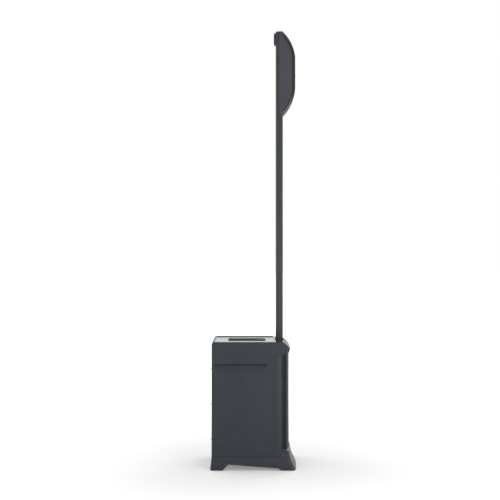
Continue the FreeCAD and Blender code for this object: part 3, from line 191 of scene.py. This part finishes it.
button_grey = moulded("button_moulding", (0.22, 0.23, 0.24), 0.35, grain=400.0, depth=0.00003)
lens_green = moulded("lens", (0.12, 0.42, 0.16), 0.15, grain=300.0, depth=0.00001)
sink_black = metal("anodised_black", (0.05, 0.05, 0.055), 0.42)
basket_black = moulded("cast_coat", (0.02, 0.02, 0.022), 0.55, grain=500.0, depth=0.0002)
magnet_grey = metal("ferrite_and_steel", (0.16, 0.16, 0.17), 0.5)
pulp_black = soft("pressed_pulp", (0.016, 0.016, 0.018), 900.0, 0.8, 0.0004)
foam_black = soft("open_foam", (0.006, 0.006, 0.007), 1100.0, 0.95, 0.001)
spider_amber = soft("dipped_cloth", (0.38, 0.25, 0.09), 1600.0, 0.8, 0.0003)
board_black = soft("painted_board", (0.018, 0.018, 0.018), 500.0, 0.7, 0.0002)
board_green = moulded("circuit_board", (0.02, 0.13, 0.05), 0.4, grain=600.0)
amp_metal = metal("folded_aluminium", (0.55, 0.56, 0.58), 0.35)
steel = metal("pressed_steel", (0.5, 0.51, 0.52), 0.35)
nickel = metal("nickel", (0.66, 0.65, 0.62), 0.2)
brass = metal("plated_contact", (0.83, 0.62, 0.25), 0.22)
lead_red = moulded("lead_sleeve", (0.30, 0.02, 0.02), 0.5)
screw_black = metal("black_zinc", (0.06, 0.06, 0.065), 0.35)

dress(body_grey, "cabinet_shell", "top_cap")
dress(plinth_grey, "plinth")
dress(rubber_black, "rubber_feet", "socket_gasket", "woofer_surround", "driver_surrounds")
dress(grille_black, "front_grille")
dress(rim_black, "array_grille")
dress(foam_black, "grille_foam")
dress(board_black, "front_baffle", "array_baffle")
dress(basket_black, "woofer_basket", "driver_frames")
dress(magnet_grey, "woofer_magnet", "driver_magnets")
dress(pulp_black, "woofer_cone", "driver_cones")
dress(spider_amber, "woofer_spider")
dress(black_plastic, "port_tubes", "column_socket", "lower_socket", "upper_socket", "panel_bezel")
dress(black_plastic, "lower_spigot", "upper_spigot", "array_spigot")
dress(handle_grey, "handle_bar")
dress(grip_black, "handle_grip")
dress(brass, "socket_contacts")
dress(column_grey, "lower_spacer", "upper_spacer")
dress(spine_grey, "array_spine", "array_catch")
dress(cheek_grey, "array_housing")
dress(panel_black, "control_panel")
for number in (1, 2, 3):
    dress(knob_black, f"level_knob_{number}", f"tone_knob_{number}")
    dress(steel, f"socket_tab_{number}")
dress(master_grey, "master_knob")
dress(button_grey, "mode_button", "pair_button")
dress(gloss_black, "input_sockets", "power_inlet", "rocker_frame", "power_rocker")
dress(nickel, "line_jacks")
dress(lens_green, "indicator_lenses")
dress(sink_black, "heat_sink")
dress(board_green, "mixer_board")
dress(amp_metal, "power_amplifier")
dress(lead_red, "internal_wiring")
dress(screw_black, "cabinet_screws")


# ---- pieces built here ----
def mesh_piece(name, verts, faces, mat, smooth=True):
    mesh = bpy.data.meshes.new(name)
    mesh.from_pydata(verts, [], faces)
    mesh.update()
    mesh.materials.append(mat)
    if smooth:
        mesh.polygons.foreach_set("use_smooth", [True] * len(mesh.polygons))
        mesh.set_sharp_from_angle(angle=math.radians(35))
    piece = bpy.data.objects.new(name, mesh)
    bpy.context.scene.collection.objects.link(piece)
    return piece


class Sheet:
    """Bent sheet with a field of hexagonal holes. surface(a, t, depth) gives a point: a runs across in
    millimetres, t from 0 to 1 along the sheet, and depth goes into it."""

    def __init__(self, surface, length, thickness):
        self.surface = surface
        self.length = length
        self.thickness = thickness
        self.verts = []
        self.faces = []
        self.index = {}

    def spot(self, a, t, depth=0.0):
        key = (round(a, 4), round(t, 7), depth)
        if key not in self.index:
            self.index[key] = len(self.verts)
            self.verts.append(self.surface(a, t, depth))
        return self.index[key]

    def quad(self, a0, a1, t0, t1):
        self.faces.append((self.spot(a0, t0), self.spot(a1, t0), self.spot(a1, t1), self.spot(a0, t1)))

    def cell(self, a0, a1, t0, t1, reach):
        """One hole in its own rectangle, with the walls of the hole."""
        am = (a0 + a1) / 2
        tm = (t0 + t1) / 2
        outer = [(a0, t0), (am, t0), (a1, t0), (a1, t1), (am, t1), (a0, t1)]
        hole = []
        for angle in (210, 270, 330, 30, 90, 150):
            turn = math.radians(angle)
            hole.append((am + reach * math.cos(turn), tm + reach * math.sin(turn) / self.length))
        rim = [self.spot(a, t) for a, t in outer]
        edge = [self.spot(a, t) for a, t in hole]
        deep = [self.spot(a, t, self.thickness) for a, t in hole]
        for k in range(6):
            n = (k + 1) % 6
            self.faces.append((rim[k], rim[n], edge[n], edge[k]))
            self.faces.append((edge[k], edge[n], deep[n], deep[k]))

    def fill(self, left, right, count, rows, hem, reach):
        """The whole sheet: plain strips left and right of the field, and a hem at each end."""
        first = left[-1]
        pitch = (right[0] - first) / count
        low = hem / self.length
        ts = [low + (1 - 2 * low) * row / rows for row in range(rows + 1)]
        halves = [first + pitch * k / 2 for k in range(2 * count + 1)]
        for row, (t0, t1) in enumerate(zip(ts, ts[1:])):
            shift = row % 2
            for k in range(count - shift):
                a0 = halves[2 * k + shift]
                self.cell(a0, halves[2 * k + shift + 2], t0, t1, reach)
            if shift:
                self.quad(halves[0], halves[1], t0, t1)
                self.quad(halves[-2], halves[-1], t0, t1)
            for strip in (left, right):
                for a0, a1 in zip(strip, strip[1:]):
                    self.quad(a0, a1, t0, t1)
        across = left[:-1] + halves + right[1:]
        for a0, a1 in zip(across, across[1:]):
            self.quad(a0, a1, 0.0, ts[0])
            self.quad(a0, a1, ts[-1], 1.0)
        along = [0.0] + ts + [1.0]
        border = [(a, 0.0) for a in across] + [(across[-1], t) for t in along[1:]]
        border += [(a, 1.0) for a in reversed(across[:-1])] + [(across[0], t) for t in reversed(along[:-1])]
        for (a0, t0), (a1, t1) in zip(border, border[1:]):
            depth = self.thickness
            near = self.spot(a1, t1), self.spot(a0, t0)
            far = self.spot(a0, t0, depth), self.spot(a1, t1, depth)
            self.faces.append(near + far)

    def piece(self, name, mat):
        return mesh_piece(name, [tuple(MM * c for c in v) for v in self.verts], self.faces, mat)


def millimetres(node):
    low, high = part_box(node)
    return [c / MM for c in low], [c / MM for c in high]


def front_grille():
    """The cabinet's perforated grille: a shallow arc in plan that turns back round both front corners."""
    low, high = millimetres("front_grille")
    half, front, back = high[0], low[1], high[1]
    bow = 18.0
    corner = 22.0
    radius = (half * half + bow * bow) / (2 * bow)
    centre = front + radius
    bend_x = half - corner
    bend_y = centre - math.sqrt((radius - corner) ** 2 - bend_x ** 2)
    lean = math.atan2(bend_x, centre - bend_y)
    arc_end = radius * lean
    bend_end = arc_end + corner * (math.pi / 2 - lean)
    far_end = bend_end + back - bend_y
    lip_rise = 13.0
    lip_length = 38.0
    lip_start = back + 0.3 - lip_length
    nose_bow = 8.0
    nose_overhang = 7.5
    nose_radius = (half * half + nose_bow * nose_bow) / (2 * nose_bow)
    nose_axis = front - nose_overhang + nose_radius
    lowest = 98.3
    # Under the cap: distance behind the nose, height of the cap's underside there less a clearance.
    seam = ((5.0, 589.7), (18.5, 588.2), (52.0, 571.7))

    def plan(a):
        """Point and outward direction in plan."""
        side = math.copysign(1, a)
        reach = abs(a)
        if reach <= arc_end:
            turn = reach / radius
            out_x, out_y = math.sin(turn), -math.cos(turn)
            return side * radius * out_x, centre + radius * out_y, side * out_x, out_y
        if reach <= bend_end:
            turn = lean + (reach - arc_end) / corner
            out_x, out_y = math.sin(turn), -math.cos(turn)
            return side * (bend_x + corner * out_x), bend_y + corner * out_y, side * out_x, out_y
        return side * half, bend_y + reach - bend_end, side, 0.0

    def ends(x, y):
        """Lowest and highest point of the sheet there."""
        bottom = lowest + max(0.0, y - lip_start) * lip_rise / lip_length
        behind = nose_radius - math.hypot(x, y - nose_axis)
        for (b0, z0), (b1, z1) in zip(seam, seam[1:]):
            if behind <= b1:
                return bottom, z0 + (z1 - z0) * (behind - b0) / (b1 - b0)
        return bottom, seam[-1][1]

    def surface(a, t, depth):
        x, y, out_x, out_y = plan(a)
        bottom, top = ends(x, y)
        return x - out_x * depth, y - out_y * depth, bottom + (top - bottom) * t

    sheet = Sheet(surface, high[2] - low[2], 1.2)
    field = 186.0
    sheet.fill([-far_end, -field - 3, -field], [field, field + 3, far_end], 62, 92, 4.0, 2.15)
    piece = sheet.piece("perforated_grille", grille_black)
    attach(piece, "cabinet")
    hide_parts("front_grille")


def array_grille():
    """The array head's grille: a plain rim rolled over both long edges and a perforated front."""
    low, high = millimetres("array_grille")
    half, front, back = high[0], low[1], high[1]
    top, bottom = 2229.0, 1797.0
    radius = 205.0
    depth = 64.75
    corner = 12.0
    rim = 17.7
    centre = front + radius
    rise = math.sqrt(radius * radius - (radius - depth) ** 2)
    z_low, z_high = bottom + rise, top - rise
    arc = radius * math.acos((centre - back) / radius)
    straight = z_high - z_low
    total = 2 * arc + straight
    flat = half - corner
    bend_end = flat + corner * math.pi / 2

    def section(a):
        """x, inset and the share of the outward direction along x and along the outline's normal."""
        side = math.copysign(1, a)
        reach = abs(a)
        if reach <= flat:
            return a, 0.0, 0.0, 1.0
        turn = min((reach - flat) / corner, math.pi / 2)
        inset = corner * (1 - math.cos(turn)) + max(0.0, reach - bend_end)
        return side * (flat + corner * math.sin(turn)), inset, side * math.sin(turn), math.cos(turn)

    def surface(a, t, thick):
        x, inset, out_x, out_n = section(a)
        reach = radius - inset
        limit = math.acos(min(1.0, (centre - back) / reach))
        along = t * total
        if along < arc:
            turn, z0 = -(1 - along / arc) * limit, z_low
        elif along <= arc + straight:
            turn, z0 = 0.0, z_low + along - arc
        else:
            turn, z0 = (along - arc - straight) / arc * limit, z_high
        out_y, out_z = -math.cos(turn), math.sin(turn)
        away = reach - thick * out_n
        return x - out_x * thick, centre + away * out_y, z0 + away * out_z

    steps = [flat + (bend_end - flat) * k / 9 for k in range(10)] + [bend_end + (rim - corner)]
    right = [flat - 2.0] + steps
    left = [-a for a in reversed(right)]
    sheet = Sheet(surface, total, 1.2)
    sheet.fill(left, right, 16, 122, 5.0, 1.5)
    piece = sheet.piece("perforated_array_grille", rim_black)
    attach(piece, "array_head")
    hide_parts("array_grille")


def bar(centre, along, across, out, sizes):
    """Corners and faces of a small raised mark with a narrower top."""
    verts = []
    length, width, height = sizes
    for level, shrink in ((0.0, 1.0), (0.6, 1.0), (1.0, 0.8)):
        for s, t in ((-1, -1), (1, -1), (1, 1), (-1, 1)):
            sideways = along * (s * length / 2 * shrink) + across * (t * width / 2 * shrink)
            verts.append(centre + sideways + out * (height * level))
    faces = [(8, 9, 10, 11)]
    for layer in (0, 4):
        for k in range(4):
            n = (k + 1) % 4
            faces.append((layer + k, layer + n, layer + 4 + n, layer + 4 + k))
    return verts, faces


def join_bars(name, bars, mat):
    verts = []
    faces = []
    for spots, sides in bars:
        start = len(verts)
        verts += [tuple(MM * c for c in v) for v in spots]
        faces += [tuple(start + k for k in side) for side in sides]
    return mesh_piece(name, verts, faces, mat, smooth=False)


KNOBS = [f"{kind}_knob_{number}" for kind in ("level", "tone") for number in (1, 2, 3)] + ["master_knob"]
OUT = Vector((0, 1, 0))
UP = Vector((0, 0, 1))


def knob_marks():
    """Pale pointer in each knob, and a ring of ticks round it on the panel."""
    face = millimetres("control_panel")[1][1]
    ticks = []
    for name in KNOBS:
        a, b = millimetres(name)
        x, z = (a[0] + b[0]) / 2, (a[2] + b[2]) / 2
        radius = (b[0] - a[0]) / 2 - 1.5
        pointer = bar(
            Vector((x, b[1] - 0.8, z + radius * 0.48)), UP, Vector((-1, 0, 0)), OUT, (radius * 0.72, 1.1, 0.6)
        )
        piece = join_bars(f"{name}_pointer", [pointer], mark_pale)
        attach(piece, f"{name}_body")
        for k in range(11):
            turn = math.radians(-150 + 30 * k)
            away = UP * math.cos(turn) + Vector((1, 0, 0)) * math.sin(turn)
            reach = radius + 4.0
            centre = Vector((x, face, z)) + away * reach
            ticks.append(bar(centre, away, away.cross(OUT), OUT, (2.2 if k % 5 == 0 else 1.4, 0.5, 0.08)))
    channel_lines = (-50.0, 0.0, 50.0)
    for x in channel_lines:
        ticks.append(bar(Vector((x, face, 430.0)), UP, Vector((-1, 0, 0)), OUT, (150.0, 0.5, 0.08)))
    foot_line = Vector((0, face, 316.0))
    ticks.append(bar(foot_line, Vector((1, 0, 0)), UP, OUT, (176.0, 0.5, 0.08)))
    piece = join_bars("panel_marks", ticks, mark_pale)
    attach(piece, "cabinet")


def grip_sleeve():
    """Ribbed rubber sleeve on the carry handle."""
    low, high = millimetres("handle_grip")
    half, z0, z1 = high[0], low[2], high[2]
    corner = 6.0
    middle = (z0 + z1) / 2
    tall = (z1 - z0) / 2
    stations = 140
    ring = []
    for cx, cz, start in ((1, 1, 0), (-1, 1, 90), (-1, -1, 180), (1, -1, 270)):
        for k in range(7):
            turn = math.radians(start + 15 * k)
            ring.append((cx * (half - corner), cz * (tall - corner), math.cos(turn), math.sin(turn)))
    verts = []
    faces = []
    count = len(ring)
    for row in range(stations + 1):
        y = low[1] + (high[1] - low[1]) * row / stations
        edge = min(row, stations - row)
        sink = 0.0 if edge < 6 else 0.45 * max(0.0, math.sin(edge * math.pi / 2.5)) ** 2
        if edge < 2:
            sink = 0.6 - 0.3 * edge
        for cx, cz, c, s in ring:
            verts.append((MM * (cx + (corner - sink) * c), MM * y, MM * (middle + cz + (corner - sink) * s)))
    for row in range(stations):
        for k in range(count):
            n = (k + 1) % count
            faces.append((row * count + k, row * count + n, (row + 1) * count + n, (row + 1) * count + k))
    last = stations * count
    faces.append(tuple(range(count)))
    faces.append(tuple(last + k for k in reversed(range(count))))
    piece = mesh_piece("grip_sleeve", verts, faces, grip_black)
    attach(piece, "cabinet")
    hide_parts("handle_grip")


def soften(*names):
    """A small bevel on a CAD node's sharp edges, for the light that real edges catch."""
    for name in names:
        node = NODES[name]
        weld = node.modifiers.new("weld", "WELD")
        weld.merge_threshold = 0.000002
        bevel = node.modifiers.new("edges", "BEVEL")
        bevel.width = 0.0007
        bevel.segments = 2
        bevel.limit_method = "ANGLE"
        bevel.angle_limit = math.radians(50)


mark_pale = moulded("printed_mark", (0.55, 0.56, 0.57), 0.55, grain=2500.0, depth=0.00001, swing=0.06)
front_grille()
array_grille()
knob_marks()
grip_sleeve()
soften("lower_spacer", "upper_spacer", "array_spine", "array_catch", "plinth", "handle_bar")


# ---- studio ----
def white_room():
    """White background. As a light it is brightest overhead and behind the object."""
    world = bpy.data.worlds.new("studio")
    world.use_nodes = True
    tree = world.node_tree
    back = tree.nodes["Background"]
    back.inputs["Color"].default_value = (1.0, 1.0, 1.0, 1)
    coords = tree.nodes.new("ShaderNodeTexCoord")
    parts = tree.nodes.new("ShaderNodeSeparateXYZ")
    tree.links.new(coords.outputs["Generated"], parts.inputs["Vector"])
    glows = []
    for axis, low, high in (("X", 0.0, 0.5), ("Z", 0.2, 0.65)):
        glow = tree.nodes.new("ShaderNodeMapRange")
        glow.inputs["From Min"].default_value = low
        glow.inputs["From Max"].default_value = high
        tree.links.new(parts.outputs[axis], glow.inputs["Value"])
        glows.append(glow)
    most = tree.nodes.new("ShaderNodeMath")
    most.operation = "MAXIMUM"
    for glow, socket in zip(glows, most.inputs):
        tree.links.new(glow.outputs["Result"], socket)
    lit = tree.nodes.new("ShaderNodeMapRange")
    lit.inputs["To Min"].default_value = 0.5
    lit.inputs["To Max"].default_value = 1.1
    tree.links.new(most.outputs["Value"], lit.inputs["Value"])
    seen = tree.nodes.new("ShaderNodeLightPath")
    mix = tree.nodes.new("ShaderNodeMix")
    mix.inputs["B"].default_value = 1.0
    tree.links.new(seen.outputs["Is Camera Ray"], mix.inputs["Factor"])
    tree.links.new(lit.outputs["Result"], mix.inputs["A"])
    tree.links.new(mix.outputs["Result"], back.inputs["Strength"])
    return world


def studio():
    scene = bpy.context.scene
    scene.view_settings.view_transform = "Standard"
    scene.world = white_room()
    floor_mat, tree, shader = new_material("studio_floor")
    shader.inputs["Base Color"].default_value = (0.6, 0.6, 0.6, 1)
    # The floor glows though it is no lamp. This is painted light that keeps it white far off and lightens the
    # shade under the cabinet. The glow is dimmed near the object, 0.25 within 0.4 m of the origin and rising
    # to 0.72 by 2.4 m, which paints a shadow round its foot.
    shader.inputs["Emission Color"].default_value = (1.0, 1.0, 1.0, 1)
    coords = tree.nodes.new("ShaderNodeTexCoord")
    away = tree.nodes.new("ShaderNodeVectorMath")
    away.operation = "LENGTH"
    tree.links.new(coords.outputs["Object"], away.inputs[0])
    floor_glow_painted_shadow = tree.nodes.new("ShaderNodeMapRange")
    floor_glow_painted_shadow.interpolation_type = "SMOOTHSTEP"
    floor_glow_painted_shadow.inputs["From Min"].default_value = 0.4
    floor_glow_painted_shadow.inputs["From Max"].default_value = 2.4
    floor_glow_painted_shadow.inputs["To Min"].default_value = 0.25
    floor_glow_painted_shadow.inputs["To Max"].default_value = 0.72
    tree.links.new(away.outputs["Value"], floor_glow_painted_shadow.inputs["Value"])
    tree.links.new(floor_glow_painted_shadow.outputs["Result"], shader.inputs["Emission Strength"])
    shader.inputs["Roughness"].default_value = 0.9
    shader.inputs["Specular IOR Level"].default_value = 0.0
    size = 40.0
    corners = [(-size, -size, 0), (size, -size, 0), (size, size, 0), (-size, size, 0)]
    floor = mesh_piece("floor", corners, [(0, 1, 2, 3)], floor_mat)
    for name, spot, width, power in (
        ("key", (-4.0, -2.0, 1.3), 1.3, 60.0),
        ("fill", (3.4, -2.4, 2.0), 2.0, 45.0),
        ("back", (1.4, 3.8, 1.8), 2.0, 40.0),
    ):
        light = bpy.data.lights.new(name, "AREA")
        light.size = width
        light.energy = power
        lamp = bpy.data.objects.new(name, light)
        lamp.location = spot
        lamp.rotation_mode = "QUATERNION"
        lamp.rotation_quaternion = (Vector((0, 0, 1.0)) - Vector(spot)).to_track_quat("-Z", "Y")
        bpy.context.scene.collection.objects.link(lamp)


def camera():
    data = bpy.data.cameras.new("photo_view")
    data.lens = 70.8
    data.sensor_width = 36.0
    data.clip_end = 100.0
    cam = bpy.data.objects.new("photo_view", data)
    cam.location = (-5.1015, 0.020, 1.105)
    cam.rotation_euler = (math.radians(90), 0, math.radians(-90))
    bpy.context.scene.collection.objects.link(cam)
    bpy.context.scene.camera = cam


studio()
camera()
